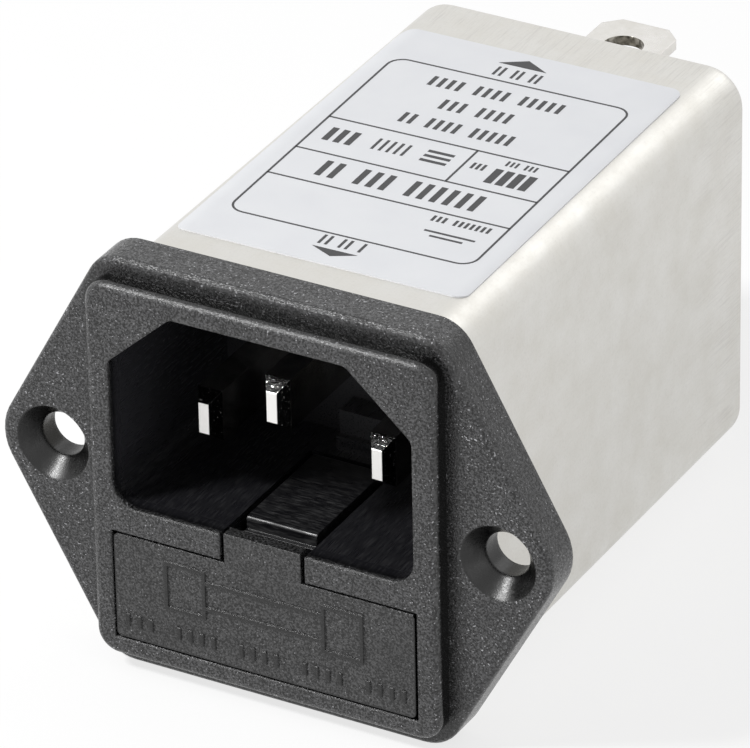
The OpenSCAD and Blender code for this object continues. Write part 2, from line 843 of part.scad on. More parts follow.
// A thin film that follows the case's top and bends down over its long edges
module label() {
  color([0.9, 0.9, 0.91])
    intersection() {
      translate([label_x, label_y, case_z])
        rotate([0, 0, label_turn])
          linear_extrude(case_h) outline(rounded_rectangle(label_w, label_l, label_corner_r));
      translate([0, 0, case_z])
        toward_back(0)
          linear_extrude(case_l)
            difference() {
              outline(
                rounded_rectangle(
                  case_w + 2*label_t, case_h + 2*label_t, case_corner_r + label_t
                )
              );
              outline(rounded_rectangle(case_w, case_h, case_corner_r));
            }
    }
}

// A tab in plan, from a start line to its slanted end, with its hole
module tab_plan(start_y) {
  difference() {
    polygon([
      [-tab_w/2, start_y], [tab_w/2, start_y],
      [tab_w/2, tab_end_y - tab_corner], [tab_w/2 - tab_corner, tab_end_y],
      [tab_corner - tab_w/2, tab_end_y], [-tab_w/2, tab_end_y - tab_corner]
    ]);
    translate([0, tab_end_y - tab_hole_set_in]) circle(d = tab_hole_d);
  }
}

module load_tab(x) {
  color(bright_metal)
    translate([x - tab_t/2, 0, load_tab_z])
      rotate([0, 90, 0])
        linear_extrude(tab_t) tab_plan(terminal_plate_y - tab_inner_l);
}

module line_terminal() load_tab(-load_tab_pitch/2);

module neutral_terminal() load_tab(load_tab_pitch/2);

// The earth tab and its foot, one strip bent down against the case's back
module earth_terminal() {
  bend_outer_r = earth_bend_r + tab_t;
  bend_y = case_back_y + bend_outer_r;
  bend_z = earth_tab_z - tab_t/2 - earth_bend_r;
  color(bright_metal) {
    translate([0, 0, earth_tab_z - tab_t/2]) linear_extrude(tab_t) tab_plan(bend_y - eps);
    translate([-tab_w/2, bend_y, bend_z])
      rotate([0, 90, 0])
        intersection() {
          difference() {
            cylinder(h = tab_w, r = bend_outer_r);
            translate([0, 0, -eps]) cylinder(h = tab_w + 2*eps, r = earth_bend_r);
          }
          translate([-bend_outer_r, -bend_outer_r, 0])
            cube([bend_outer_r, bend_outer_r, tab_w]);
        }
    difference() {
      centred_block(
        tab_w, case_back_y, case_back_y + tab_t,
        earth_tab_z - tab_t/2 - earth_foot_h, bend_z + eps
      );
      translate([0, 0, rivet_z])
        toward_back(case_back_y - tab_t) cylinder(h = 3*tab_t, d = rivet_d);
    }
  }
}

module domed_head() {
  dome_r = (rivet_head_d*rivet_head_d/4 + rivet_head_t*rivet_head_t)/(2*rivet_head_t);
  rotate_extrude()
    intersection() {
      translate([0, rivet_head_t - dome_r]) circle(dome_r);
      square([rivet_head_d, rivet_head_t]);
    }
}

module earth_rivet() {
  color(bright_metal)
    translate([0, 0, rivet_z]) {
      toward_back(case_inner_back_y - rivet_head_t) cylinder(h = rivet_head_t, d = rivet_head_d);
      toward_back(case_inner_back_y - eps)
        cylinder(h = case_t + tab_t + 2*eps, d = rivet_d);
      toward_back(case_back_y + tab_t) domed_head();
    }
}

// The insulating plate that carries the load tabs and the board's back edge
module terminal_plate() {
  plate_low_z = board_z - board_t - 1;
  color([0.16, 0.16, 0.17])
    difference() {
      union() {
        centred_block(
          plug_w, terminal_plate_y, case_inner_back_y - case_gap,
          plate_low_z, load_tab_z + terminal_plate_rise
        );
        translate([0, 0, load_tab_z])
          toward_back(terminal_plate_y + eps)
            linear_extrude(case_back_y + nose_rise - terminal_plate_y)
              outline(rounded_rectangle(nose_w, nose_h, nose_corner_r));
      }
      for (side = [-1, 1])
        block(
          [side*load_tab_pitch/2 - tab_t/2, terminal_plate_y - 1, load_tab_z - tab_w/2],
          [side*load_tab_pitch/2 + tab_t/2, case_back_y + 2, load_tab_z + tab_w/2]
        );
      centred_block(
        board_w, terminal_plate_y - 1, terminal_plate_y + board_groove,
        board_z - board_t, board_z
      );
    }
}

// ---------- filter parts ----------

module circuit_board() {
  color([0.20, 0.42, 0.24])
    centred_block(
      board_w, plug_back_y, terminal_plate_y + board_groove, board_z - board_t, board_z
    );
}

module choke_core() {
  color([0.25, 0.33, 0.27])
    translate([0, choke_y, choke_z])
      rotate([90, 0, 0])
        rotate_extrude()
          translate([core_mid_r, 0])
            outline(rounded_rectangle((core_d - core_hole_d)/2, core_w, core_edge_r));
}

// The plate across the ring's hole that keeps the two windings apart
module choke_divider() {
  reach = (core_hole_d - 0.4)/2;
  color([0.9, 0.88, 0.8])
    block(
      [-divider_t/2, choke_y - core_w/2, choke_z - reach],
      [divider_t/2, choke_y + core_w/2, choke_z + reach]
    );
}

function boxy(value) = sign(value)*pow(abs(value), 0.4);

// A point of the winding: its place along the arc and its angle round the core's section
function winding_point(arc_angle, turn_angle) =
  let (r = core_mid_r + winding_a*boxy(cos(turn_angle)))
  [
    r*cos(arc_angle),
    choke_y + winding_b*boxy(sin(turn_angle)),
    choke_z + r*sin(arc_angle)
  ];

steps_per_turn = 16;

// From the board up to the core, round it, and back to the tab at the rear
function winding_path() =
  let (
    steps = winding_turns*steps_per_turn + steps_per_turn/2,
    start = winding_point(-winding_arc/2, -90),
    end = winding_point(winding_arc/2, steps*360/steps_per_turn - 90),
    tab_top_z = load_tab_z + tab_w/2
  )
  concat(
    [[start[0], start[1], board_z]],
    [
      for (i = [0 : steps])
        winding_point(winding_arc*(i/steps - 0.5), i*360/steps_per_turn - 90)
    ],
    [
      [end[0] + winding_wire_d, end[1] + winding_wire_d, end[2] - winding_wire_d],
      [load_tab_pitch/2, end[1] + 1.5*winding_wire_d, (end[2] + tab_top_z)/2],
      [load_tab_pitch/2, terminal_plate_y - tab_inner_l/2, tab_top_z + winding_clearance]
    ]
  );

module winding() {
  color(copper) wire(winding_path(), wire_r, 6);
}

module line_winding() mirror([1, 0, 0]) winding();

module neutral_winding() winding();

module x_capacitor() {
  color([0.85, 0.75, 0.25])
    translate([0, x_cap_y + x_cap_t/2, board_z])
      linear_extrude(x_cap_h)
        outline(rounded_rectangle(x_cap_w, x_cap_t, x_cap_edge_r));
}

module y_capacitor(side) {
  color([0.2, 0.42, 0.7])
    translate([side*load_tab_pitch/2, y_cap_y + y_cap_t/2, board_z + y_cap_d/2])
      rotate([90, 0, 0])
        rotate_extrude()
          intersection() {
            translate([0, y_cap_t/2])
              outline(rounded_rectangle(y_cap_d, y_cap_t, y_cap_t/2 - eps));
            square([y_cap_d, y_cap_t]);
          }
}

module line_y_capacitor() y_capacitor(-1);

module neutral_y_capacitor() y_capacitor(1);

// A resistor that lies on the board with its leads bent down at both ends
module bleed_resistor() {
  y = plug_back_y + x_cap_set_back/2;
  z = board_z + resistor_d/2;
  half = resistor_l/2;
  color([0.78, 0.68, 0.5]) {
    rod_x(-half, half, y, z, resistor_d*0.86);
    rod_x(-half, 1.6 - half, y, z, resistor_d);
    rod_x(half - 1.6, half, y, z, resistor_d);
    rod_x(-half - 1.5, half + 1.5, y, z, resistor_lead_d);
    for (side = [-1, 1])
      translate([side*(half + 1.5), y, board_z]) cylinder(h = resistor_d/2, d = resistor_lead_d);
  }
}

module lead(points, colour) {
  color(colour) wire(bent_path(points, lead_d), lead_d/2);
}

tail_mid_y = plug_back_y + pin_tail_l/2;

// From the line pin's tail down to the fuse contact beside it
module fuse_bridge() {
  x = -pin_pitch/2 - pin_tail_t/2 - lead_d/2;
  lead(
    [
      [x, tail_mid_y, live_pin_z],
      [x, tail_mid_y, contact_leg_z + contact_t/2]
    ],
    [0.35, 0.2, 0.12]
  );
}

// From the other fuse contact down to the board
module line_lead() {
  lead(
    [
      [contact_pitch/2, tail_mid_y, contact_leg_z - contact_t/2],
      [contact_pitch/2, tail_mid_y, board_z]
    ],
    [0.35, 0.2, 0.12]
  );
}

// From the neutral pin's tail, round the fuse contact, down to the board
module neutral_lead() {
  x = pin_pitch/2 + pin_tail_t/2 + lead_d/2;
  outer_x = contact_pitch/2 + contact_w/2 + lead_d/2 + lead_gap;
  lead(
    [
      [x, tail_mid_y, live_pin_z],
      [x, tail_mid_y, live_pin_z - pin_tail_h/2 - 2*lead_d],
      [outer_x, tail_mid_y, contact_leg_z + 3*lead_d],
      [outer_x, tail_mid_y, board_z]
    ],
    [0.2, 0.35, 0.75]
  );
}

// From the earth pin's tail along the case's upper corner to the rivet's inner head
module earth_lead() {
  x = pin_tail_t/2 + lead_d/2;
  corner_x = plug_w/2 - inner_corner_r;
  corner_z = case_z + plug_h/2 - lead_gap - lead_d/2;
  end_y = case_inner_back_y - rivet_head_t;
  turn_y = end_y - 1.5*lead_d;
  lead(
    [
      [x, tail_mid_y, earth_pin_z],
      [x, tail_mid_y, corner_z],
      [corner_x, tail_mid_y, corner_z],
      [corner_x, turn_y, corner_z],
      [x, turn_y, rivet_z],
      [x, end_y, rivet_z]
    ],
    [0.35, 0.65, 0.25]
  );
}

inlet_housing();
line_pin();
neutral_pin();
earth_pin();
line_fuse_contact();
load_fuse_contact();
fuse_drawer();
fuse_tube();
fuse_cap_left();
fuse_cap_right();
fuse_wire();
case();
label();
terminal_plate();
line_terminal();
neutral_terminal();
earth_terminal();
earth_rivet();
circuit_board();
choke_core();
choke_divider();
line_winding();
neutral_winding();
x_capacitor();
line_y_capacitor();
neutral_y_capacitor();
bleed_resistor();
fuse_bridge();
line_lead();
neutral_lead();
earth_lead();
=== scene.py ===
import json
import math

import bmesh
import bpy
from mathutils import Matrix, Vector


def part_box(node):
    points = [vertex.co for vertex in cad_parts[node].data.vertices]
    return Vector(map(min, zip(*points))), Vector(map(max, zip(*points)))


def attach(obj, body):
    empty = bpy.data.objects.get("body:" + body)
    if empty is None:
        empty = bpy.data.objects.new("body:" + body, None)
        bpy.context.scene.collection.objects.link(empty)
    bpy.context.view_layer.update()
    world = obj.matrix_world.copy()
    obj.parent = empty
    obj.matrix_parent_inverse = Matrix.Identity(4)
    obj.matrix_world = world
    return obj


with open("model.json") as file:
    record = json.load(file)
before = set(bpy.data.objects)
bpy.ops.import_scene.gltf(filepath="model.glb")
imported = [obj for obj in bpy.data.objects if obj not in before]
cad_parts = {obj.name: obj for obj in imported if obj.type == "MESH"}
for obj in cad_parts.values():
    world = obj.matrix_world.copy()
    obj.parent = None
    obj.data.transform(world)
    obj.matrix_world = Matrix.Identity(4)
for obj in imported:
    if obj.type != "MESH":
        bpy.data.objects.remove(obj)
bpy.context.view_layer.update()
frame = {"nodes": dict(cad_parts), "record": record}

MM = 0.001

# ---------------------------------------------------------------- places from the frame

housing_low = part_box("inlet_housing")[0]
drawer_low, drawer_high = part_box("fuse_drawer")
case_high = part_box("case")[1]
label_low, label_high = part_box("label")
mounts = {m["name"]: m for m in frame["record"]["mounts"]}

FRONT_Y = housing_low[1]
FLOOR_Z = housing_low[2]
CASE_BACK_Y = case_high[1]
LABEL_X = (label_low[0] + label_high[0]) / 2
LABEL_Y = (label_low[1] + label_high[1]) / 2
LABEL_TOP_Z = label_high[2]
SCREW_X = mounts["panel_screws"]["dims"]["spacing_x_mm"] * MM / 2
TAB_HOLE_Y = mounts["earth_tab_hole"]["pos_m"][1]
TAB_HOLE_R = mounts["earth_tab_hole"]["dims"]["r_mm"] * MM

# Sizes of the housing that its box doesn't give
FLANGE_FRONT_Y = -3.2 * MM
COUNTERSINK_R = 3.05 * MM
BOSS_X, BOSS_Z = 14.05 * MM, 15.25 * MM  # half the raised frame's width and height
CAVITY_X = 12.4 * MM  # half the inlet cavity's width
CAVITY_LOW_Z, CAVITY_HIGH_Z = -5.0 * MM, 13.9 * MM

# ---------------------------------------------------------------- camera

AZIMUTH = 29.585
ELEVATION = 29.926
ROLL = 1.137
DISTANCE = 0.53824
TARGET = Vector((-0.003225, 0.017498, -0.001014))
LENS = 355.8
SENSOR_WIDTH = 36


def make_camera():
    """A long lens from the front right and above."""
    a, e = math.radians(AZIMUTH), math.radians(ELEVATION)
    away = Vector((math.sin(a) * math.cos(e), -math.cos(a) * math.cos(e), math.sin(e)))
    data = bpy.data.cameras.new("camera")
    data.lens = LENS
    data.sensor_width = SENSOR_WIDTH
    data.clip_start = 0.01
    camera = bpy.data.objects.new("camera", data)
    look = (-away).to_track_quat("-Z", "Y").to_matrix()
    turn = Matrix.Rotation(math.radians(-ROLL), 3, "Z")
    camera.matrix_world = Matrix.Translation(TARGET + DISTANCE * away) @ (look @ turn).to_4x4()
    bpy.context.scene.collection.objects.link(camera)
    bpy.context.scene.camera = camera


# ---------------------------------------------------------------- helpers for nodes and meshes

def add_node(tree, kind, inputs=None, **settings):
    """A shader node with its settings, and its inputs linked or set."""
    made = tree.nodes.new("ShaderNode" + kind)
    for key, value in settings.items():
        setattr(made, key, value)
    for key, value in (inputs or {}).items():
        if isinstance(value, bpy.types.NodeSocket):
            tree.links.new(value, made.inputs[key])
        else:
            made.inputs[key].default_value = value
    return made


def opaque(colour):
    """A colour as a socket holds it. A link passes through."""
    return colour if isinstance(colour, bpy.types.NodeSocket) else (*colour, 1)


def add_object(name, mesh, material, turn=Matrix.Identity(4)):
    """Turns a bmesh into an object with one material."""
    data = bpy.data.meshes.new(name)
    mesh.to_mesh(data)
    mesh.free()
    data.transform(turn)
    data.materials.append(material)
    made = bpy.data.objects.new(name, data)
    bpy.context.scene.collection.objects.link(made)
    return made


class Shader:
    """A Principled material with short names for its nodes. Textures run in object space."""

    def __init__(self, name, colour, roughness, metallic=0.0, **sockets):
        self.material = bpy.data.materials.new(name)
        self.material.use_nodes = True
        self.tree = self.material.node_tree
        self.surface = self.tree.nodes["Principled BSDF"]
        self.set("Base Color", opaque(colour))
        self.set("Roughness", roughness)
        self.set("Metallic", metallic)
        for socket, value in sockets.items():
            self.set(socket.replace("_", " "), value)
        self.place = self.node("TexCoord").outputs["Object"]
        self.x, self.y, self.z = self.node("SeparateXYZ", {0: self.place}).outputs

    def set(self, socket, value):
        self.surface.inputs[socket].default_value = value

    def link(self, output, socket):
        self.tree.links.new(output, self.surface.inputs[socket])

    def node(self, kind, inputs=None, **settings):
        return add_node(self.tree, kind, inputs, **settings)

    def math(self, operation, *values):
        return self.node("Math", dict(enumerate(values)), operation=operation).outputs[0]

    def both(self, a, b):
        return self.math("MULTIPLY", a, b)

    def either(self, a, b):
        return self.math("MAXIMUM", a, b)

    def past(self, value, edge):
        """How far a coordinate lies past `edge`, on either side of the middle."""
        return self.math("SUBTRACT", self.math("ABSOLUTE", value), edge)

    def away(self, a, b):
        """The distance from the point where a and b are 0."""
        return self.math("SQRT", self.math("ADD", self.both(a, a), self.both(b, b)))

    def stretched(self, x, y, z):
        """The object's coordinates times a factor for each axis."""
        return self.node("Mapping", {"Vector": self.place, "Scale": (x, y, z)}).outputs[0]

    def noise(self, size, detail=2.0, roughness=0.5, at=None):
        """Noise whose blobs are about `size` metres across."""
        inputs = {"Vector": at or self.place, "Scale": 1 / size, "Detail": detail}
        inputs["Roughness"] = roughness
        return self.node("TexNoise", inputs).outputs["Fac"]

    def cells(self, size):
        """The distance to the middle of cells about `size` metres across."""
        inputs = {"Vector": self.place, "Scale": 1 / size}
        return self.node("TexVoronoi", inputs).outputs["Distance"]

    def ramp(self, value, low, high, to_low=0.0, to_high=1.0):
        """Maps low..high to to_low..to_high, with clamped ends."""
        inputs = {"Value": value, "From Min": low, "From Max": high}
        inputs.update({"To Min": to_low, "To Max": to_high})
        return self.node("MapRange", inputs).outputs["Result"]

    def spread(self, noise, to_low=0.0, to_high=1.0):
        """The same for the range in which nearly all noise lies."""
        return self.ramp(noise, 0.3, 0.7, to_low, to_high)

    def mix(self, factor, a, b):
        """A colour between a and b."""
        inputs = {"Factor": factor, 6: opaque(a), 7: opaque(b)}
        return self.node("Mix", inputs, data_type="RGBA").outputs[2]

    def blend(self, factor, a, b):
        """A plain number between a and b."""
        return self.node("Mix", {"Factor": factor, 2: a, 3: b}, data_type="FLOAT").outputs[0]

    def relief(self, height, depth, edge=0.0):
        """Bump of a real depth in metres, over edges that look rounded by `edge`."""
        inputs = {"Height": height, "Distance": depth, "Strength": 1.0}
        if edge:
            inputs["Normal"] = self.node("Bevel", {"Radius": edge}, samples=6).outputs[0]
        self.link(self.node("Bump", inputs).outputs[0], "Normal")


def paint(node, shader):
    """Gives a CAD node its material."""
    for slot in frame["nodes"][node].material_slots:
        slot.material = shader.material


# ---------------------------------------------------------------- plastics

BLACK = (0.001, 0.001, 0.001)
GRAIN_SIZE = 0.17 * MM
PORE_SIZE = 0.4 * MM
SPECK_SIZE = 0.15 * MM
GRAIN_DEPTH = 0.045 * MM
MEAN_GRAIN = 0.65  # the grain's mean height, which keeps smooth and grained faces level
POLISHED = 0.13


def moulded_plastic(name, dark, light, speck):
    """Black thermoplastic: spark-eroded grain, pale specks and slowly changing tone."""
    s = Shader(name, light, 0.3, Specular_IOR_Level=0.52)
    grain = s.noise(GRAIN_SIZE, 2.0, 0.7)
    pores = s.ramp(s.cells(PORE_SIZE), 0.0, 0.5)
    s.height = s.math("MULTIPLY_ADD", pores, 0.3, grain)
    s.rough = s.ramp(grain, 0.4, 0.62, 0.36, 0.24)
    tone = s.spread(s.noise(6 * MM, 3.0), 0.85, 1.15)
    mottled = s.mix(s.ramp(grain, 0.43, 0.61), dark, light)
    shade = s.node("HueSaturation", {"Color": mottled, "Value": tone}).outputs[0]
    patches = s.ramp(s.noise(3 * MM, 2.0), 0.35, 0.65, 0.3, 1.0)
    dots = s.ramp(s.noise(SPECK_SIZE, 0.0), 0.72, 0.79)
    s.base = s.mix(s.both(s.both(dots, patches), speck), shade, (0.5, 0.5, 0.52))
    return s


def inside_inlet(s):
    """1 in the inlet's cavity, behind the front face."""
    depth = s.ramp(s.y, FRONT_Y + 0.25 * MM, FRONT_Y + 1.1 * MM)
    across = s.ramp(s.past(s.x, CAVITY_X), 0.1 * MM, -0.1 * MM)
    above = s.ramp(s.z, CAVITY_LOW_Z - 0.2 * MM, CAVITY_LOW_Z + 0.2 * MM)
    below = s.ramp(s.z, CAVITY_HIGH_Z + 0.05 * MM, CAVITY_HIGH_Z - 0.1 * MM)
    return s.both(s.both(depth, across), s.both(above, below))


def inside_screw_holes(s):
    """1 on the machined-smooth countersinks and bores."""
    across = s.away(s.past(s.x, SCREW_X), s.z)
    near = s.ramp(across, COUNTERSINK_R + 0.05 * MM, COUNTERSINK_R - 0.1 * MM)
    return s.both(near, s.ramp(s.y, FLANGE_FRONT_Y, FLANGE_FRONT_Y + 0.05 * MM))


def before_flange(s):
    """1 before the flange's front face, 0 on it."""
    return s.ramp(s.y, FLANGE_FRONT_Y - 0.02 * MM, FLANGE_FRONT_Y - 0.1 * MM)


def boss_walls(s):
    """1 on the polished walls between the raised frame's front and the flange."""
    return s.both(s.ramp(s.y, FRONT_Y + 0.25 * MM, FRONT_Y + 0.6 * MM), before_flange(s))


def boss_surround(s):
    """1 on the flange close round the raised frame, which is smoother there and painted in shade.
    """
    near = s.ramp(s.either(s.past(s.x, BOSS_X), s.past(s.z, BOSS_Z)), 1.0 * MM, 0.6 * MM)
    return s.both(near, s.math("SUBTRACT", 1.0, before_flange(s)))


def eased_edges(s):
    """How far the corners are eased: only on the raised frame's front and by the screw holes."""
    front = s.ramp(s.y, FRONT_Y + 0.7 * MM, FRONT_Y + 0.5 * MM)
    ears = s.ramp(s.past(s.x, BOSS_X), 0.4 * MM, 0.8 * MM)
    return s.both(s.either(front, ears), 0.4 * MM)


def housing_plastic():
    """The grained housing, with its polished walls, drilled holes, a band of painted shade round
    the raised frame, and a scratched cavity in painted shade.
    """
    s = moulded_plastic("black_plastic", BLACK, (0.074, 0.074, 0.076), 0.8)
    cavity = inside_inlet(s)
    holes = inside_screw_holes(s)
    polished = s.either(boss_walls(s), holes)
    # Painted shade: the flange close round the raised frame is painted halfway to black, and it is
    # also smoother there.
    smooth_skin_and_painted_shade = s.both(boss_surround(s), 0.5)
    outside = s.mix(polished, s.mix(smooth_skin_and_painted_shade, s.base, BLACK), BLACK)
    scratches = s.noise(0.1 * MM, 2.0, 0.6, s.stretched(1.0, 0.06, 1.0))
    # Painted shade in the cavity: darker than the outside and darker towards its floor, under pale
    # scratches that are real wear.
    walls = s.ramp(s.z, -4.0 * MM, 1.0 * MM)
    painted_cavity_shade = s.mix(walls, (0.003, 0.003, 0.004), (0.026, 0.026, 0.030))
    inside = s.mix(s.ramp(scratches, 0.5, 0.75), painted_cavity_shade, (0.036, 0.036, 0.038))
    s.link(s.mix(cavity, outside, inside), "Base Color")
    rough = s.blend(cavity, s.rough, s.spread(scratches, 0.38, 0.55))
    rough = s.blend(s.either(polished, smooth_skin_and_painted_shade), rough, POLISHED)
    drilled = s.spread(s.noise(0.3 * MM, 3.0), 0.24, 0.36)
    s.link(s.blend(holes, rough, drilled), "Roughness")
    level = s.math("MULTIPLY_ADD", scratches, 0.2, MEAN_GRAIN)
    s.relief(s.blend(s.either(cavity, polished), s.height, level), GRAIN_DEPTH, eased_edges(s))
    return s


def drawer_plastic():
    """The grained plate, with its rim and raised lines in shade, and a smooth worn tray."""
    s = moulded_plastic("drawer_plastic", BLACK, (0.060, 0.060, 0.061), 0.5)
    behind = s.ramp(s.y, FRONT_Y + 1.0 * MM, FRONT_Y + 1.6 * MM)
    raised = s.ramp(s.y, FRONT_Y - 0.02 * MM, FRONT_Y - 0.04 * MM)
    outward = s.either(s.past(s.x, drawer_high[0]), s.math("SUBTRACT", drawer_low[2], s.z))
    rim = s.ramp(outward, -0.14 * MM, -0.06 * MM)
    face = s.mix(s.either(s.both(raised, 0.85), rim), s.base, (0.003, 0.003, 0.003))
    drag = s.noise(0.12 * MM, 3.0, 0.6, s.stretched(0.12, 1.0, 1.0))
    worn = s.mix(s.ramp(drag, 0.48, 0.68), (0.005, 0.005, 0.006), (0.04, 0.04, 0.041))
    s.link(s.mix(behind, face, worn), "Base Color")
    s.link(s.blend(behind, s.rough, s.spread(drag, 0.25, 0.5)), "Roughness")
    level = s.math("MULTIPLY_ADD", drag, 0.2, MEAN_GRAIN)
    s.relief(s.blend(behind, s.height, level), GRAIN_DEPTH, 0.12 * MM)
    return s


def plain_plastic(name, colour, roughness):
    """Lacquer, ceramic, laminate or plain plastic of one colour, with faint clouds."""
    s = Shader(name, colour, roughness)
    grain = s.noise(0.2 * MM, 3.0, 0.6)
    clouds = s.spread(s.noise(2 * MM, 3.0))
    s.link(s.mix(clouds, [0.8 * c for c in colour], colour), "Base Color")
    s.link(s.spread(grain, roughness - 0.08, roughness + 0.08), "Roughness")
    s.relief(grain, 0.02 * MM, 0.1 * MM)
    return s


# ---------------------------------------------------------------- metals

def clouds_and_lines(s):
    """The clouds of a plated strip, and the hairlines that its rolling left."""
    lines = s.noise(0.05 * MM, 3.0, 0.6, s.stretched(1.0, 0.05, 1.0))
    return s.noise(1.5 * MM, 4.0, 0.6), lines


def plated_metal(name, colour, roughness, edge=0.06 * MM):
    """Nickel or tin plate: faint clouds, hairlines along the strip and dulled patches."""
    s = Shader(name, colour, roughness, 1.0)
    clouds, lines = clouds_and_lines(s)
    s.link(s.mix(s.ramp(clouds, 0.35, 0.7), colour, [0.8 * c for c in colour]), "Base Color")
    dull = s.spread(clouds, roughness, roughness + 0.12)
    s.link(s.math("ADD", s.spread(lines, -0.06, 0.06), dull), "Roughness")
    s.relief(lines, 0.003 * MM, edge)
    return s


def earth_tab_plating():
    """Plated strip with the dark, torn wall of its punched hole."""
    s = Shader("earth_tab_metal", (0.78, 0.76, 0.73), 0.24, 1.0)
    clouds, lines = clouds_and_lines(s)
    plate = s.mix(s.ramp(clouds, 0.35, 0.7), (0.80, 0.785, 0.755), (0.70, 0.68, 0.64))
    streaks = s.ramp(s.noise(0.5 * MM, 2.0), 0.35, 0.65)
    torn = s.mix(streaks, (0.06, 0.055, 0.04), (0.35, 0.33, 0.29))
    across = s.away(s.x, s.math("SUBTRACT", s.y, TAB_HOLE_Y))
    wall = s.ramp(across, TAB_HOLE_R + 0.04 * MM, TAB_HOLE_R + 0.01 * MM)
    s.link(s.mix(wall, plate, torn), "Base Color")
    s.link(s.spread(clouds, 0.22, 0.36), "Roughness")
    s.relief(lines, 0.003 * MM, 0.08 * MM)
    return s


def pin_plating(name, tip_y):
    """Nickel plated pin: a bright stamped end, and scored chamfers painted nearly black as a
    painted reflection of the dark socket.
    """
    s = Shader(name, (0.8, 0.79, 0.77), 0.2, 1.0)
    end = s.ramp(s.y, tip_y + 0.06 * MM, tip_y + 0.02 * MM)
    chamfer = s.ramp(s.y, tip_y + 1.05 * MM, tip_y + 0.95 * MM)
    score = s.noise(0.2 * MM, 3.0, 0.7)
    # Painted reflection: near the tip the pin is painted nearly black, as if mirroring the dark
    # socket, with pale scores across it.
    scores_on_painted_reflection = s.mix(s.ramp(score, 0.62, 0.67), (0.008, 0.008, 0.008), (0.7, 0.69, 0.66))
    clouds = s.ramp(s.noise(1.5 * MM, 3.0), 0.35, 0.7)
    sides = s.mix(clouds, (0.62, 0.60, 0.57), (0.42, 0.40, 0.37))
    s.link(s.mix(end, s.mix(chamfer, sides, scores_on_painted_reflection), (0.88, 0.87, 0.85)), "Base Color")
    s.link(s.blend(end, s.spread(score, 0.07, 0.2), 0.4), "Roughness")
    s.relief(s.both(score, chamfer), 0.03 * MM, 0.05 * MM)
    return s


def can_steel():
    """Tin plated deep-drawn steel: satin, blotchy, with draw lines that grow to the rear."""
    s = Shader("tinned_steel", (0.68, 0.66, 0.62), 0.4, 1.0)
    blotch = s.noise(3.5 * MM, 5.0, 0.65)
    fine = s.noise(0.22 * MM, 3.0, 0.7)
    lines = s.noise(0.14 * MM, 3.0, 0.7, s.stretched(1.0, 0.04, 1.0))
    rear = s.ramp(s.y, CASE_BACK_Y - 9.9 * MM, CASE_BACK_Y - 2.9 * MM)
    tint = s.mix(s.ramp(blotch, 0.35, 0.68), (0.705, 0.695, 0.665), (0.665, 0.65, 0.61))
    strokes = s.both(s.ramp(lines, 0.5, 0.68), s.math("MULTIPLY_ADD", rear, 0.45, 0.1))
    worn = s.either(strokes, s.ramp(fine, 0.55, 0.8, 0.0, 0.35))
    s.link(s.mix(worn, tint, (0.55, 0.535, 0.51)), "Base Color")
    s.link(s.math("ADD", s.spread(fine, 0.34, 0.46), s.spread(blotch, -0.04, 0.06)), "Roughness")
    drawn = s.both(lines, s.math("MULTIPLY_ADD", rear, 0.7, 0.3))
    s.relief(s.math("MULTIPLY_ADD", fine, 0.5, drawn), 0.012 * MM)
    return s


def winding_wire():
    """Enamelled copper wire."""
    s = Shader("winding_copper", (0.50, 0.17, 0.05), 0.3, 0.6, Coat_Weight=0.5)
    clouds = s.noise(0.8 * MM, 3.0)
    s.link(s.mix(s.spread(clouds), (0.56, 0.20, 0.07), (0.36, 0.11, 0.035)), "Base Color")
    s.link(s.spread(clouds, 0.24, 0.4), "Roughness")
    s.relief(s.noise(0.3 * MM, 2.0), 0.01 * MM)
    return s


def fuse_glass():
    """Clear glass with faint smears round the tube."""
    s = Shader("fuse_glass", (0.92, 0.96, 0.95), 0.04, Transmission_Weight=0.95, IOR=1.5)
    smears = s.noise(1.2 * MM, 4.0, 0.6, s.stretched(0.3, 1.0, 1.0))
    smeared = s.ramp(smears, 0.4, 0.8)
    s.link(s.mix(smeared, (0.92, 0.96, 0.95), (0.84, 0.89, 0.88)), "Base Color")
    s.link(s.ramp(smears, 0.4, 0.8, 0.02, 0.14), "Roughness")
    s.relief(smears, 0.004 * MM)
    return s


# ---------------------------------------------------------------- label

PRINT_TURN = math.radians(1.3)
PRINT_THICKNESS = 0.015 * MM
RULE = 0.17  # the width of the ruled lines, in mm like all of the print
FRAME_X0, FRAME_X1 = -9.75, 9.85
FRAME_Y0, FRAME_Y1 = -13.2, 12.75
FRAME_R = 1.3
ROWS = (-7.05, -2.77, 2.35)
POST_X = 2.45
FINE, MEDIUM, BOLD = 0.22, 0.34, 0.5


def label_film():
    """Matt silver-white polyester film with a faint weave of fibres and dust."""
    s = Shader("label_film", (0.72, 0.73, 0.75), 0.45, 0.0, Specular_IOR_Level=0.4)
    fleck = s.noise(0.12 * MM, 3.0, 0.7)
    clouds = s.spread(s.noise(4 * MM, 3.0))
    tint = s.mix(clouds, (0.72, 0.73, 0.75), (0.69, 0.70, 0.725))
    s.link(s.mix(s.ramp(fleck, 0.6, 0.85, 0.0, 0.25), tint, (0.60, 0.61, 0.63)), "Base Color")
    s.link(s.spread(fleck, 0.38, 0.52), "Roughness")
    s.relief(fleck, 0.004 * MM)
    return s


def print_ink():
    """Dark grey ink with thin spots."""
    s = Shader("label_ink", (0.09, 0.09, 0.095), 0.4)
    speck = s.noise(0.1 * MM, 3.0, 0.7)
    thin = s.ramp(speck, 0.55, 0.8, 0.0, 0.6)
    s.link(s.mix(thin, (0.028, 0.028, 0.03), (0.08, 0.08, 0.084)), "Base Color")
    s.link(s.spread(speck, 0.32, 0.5), "Roughness")
    s.relief(speck, 0.003 * MM)
    return s


